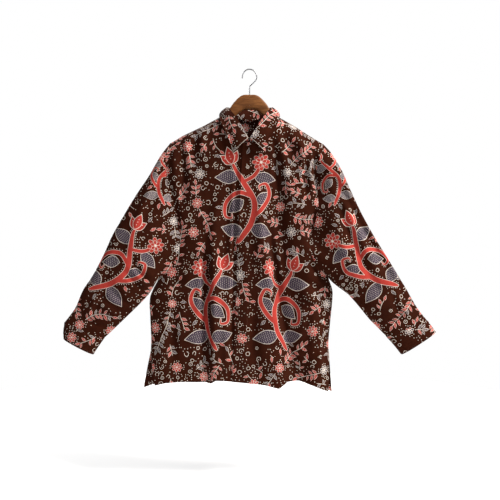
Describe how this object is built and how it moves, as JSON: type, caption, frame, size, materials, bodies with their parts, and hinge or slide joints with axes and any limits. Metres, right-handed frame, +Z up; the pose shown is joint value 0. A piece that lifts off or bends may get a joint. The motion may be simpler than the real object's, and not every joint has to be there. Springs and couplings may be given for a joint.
{
  "type": "batik shirt and hanger",
  "caption": "Long-sleeved batik shirt with a pointed collar and a covered front, hanging on a plain wooden hanger with a metal hook.",
  "frame": {"origin": "inside top of the hanger's hook, where a rail or peg holds it", "axes": "+Z up, -Y out of the shirt's front, +X towards the wearer's left sleeve"},
  "size_m": [1.0313, 0.1176, 0.9034],
  "materials": {
    "batik_cloth": "printed cotton, matt",
    "hanger_wood": "stained and varnished",
    "hook_steel": "polished",
    "button": "satin"
  },
  "bodies": {
    "root": {"front_right": "batik_cloth", "front_left": "batik_cloth", "back": "batik_cloth", "sleeve_right": "batik_cloth", "sleeve_left": "batik_cloth", "cuff_right": "batik_cloth", "cuff_left": "batik_cloth", "collar_stand": "batik_cloth", "collar_fall": "batik_cloth", "button_cuff_right": "button", "button_cuff_left": "button", "hanger_arm_right": "hanger_wood", "hanger_arm_left": "hanger_wood", "hanger_hook": "hook_steel"}
  },
  "joints": []
}
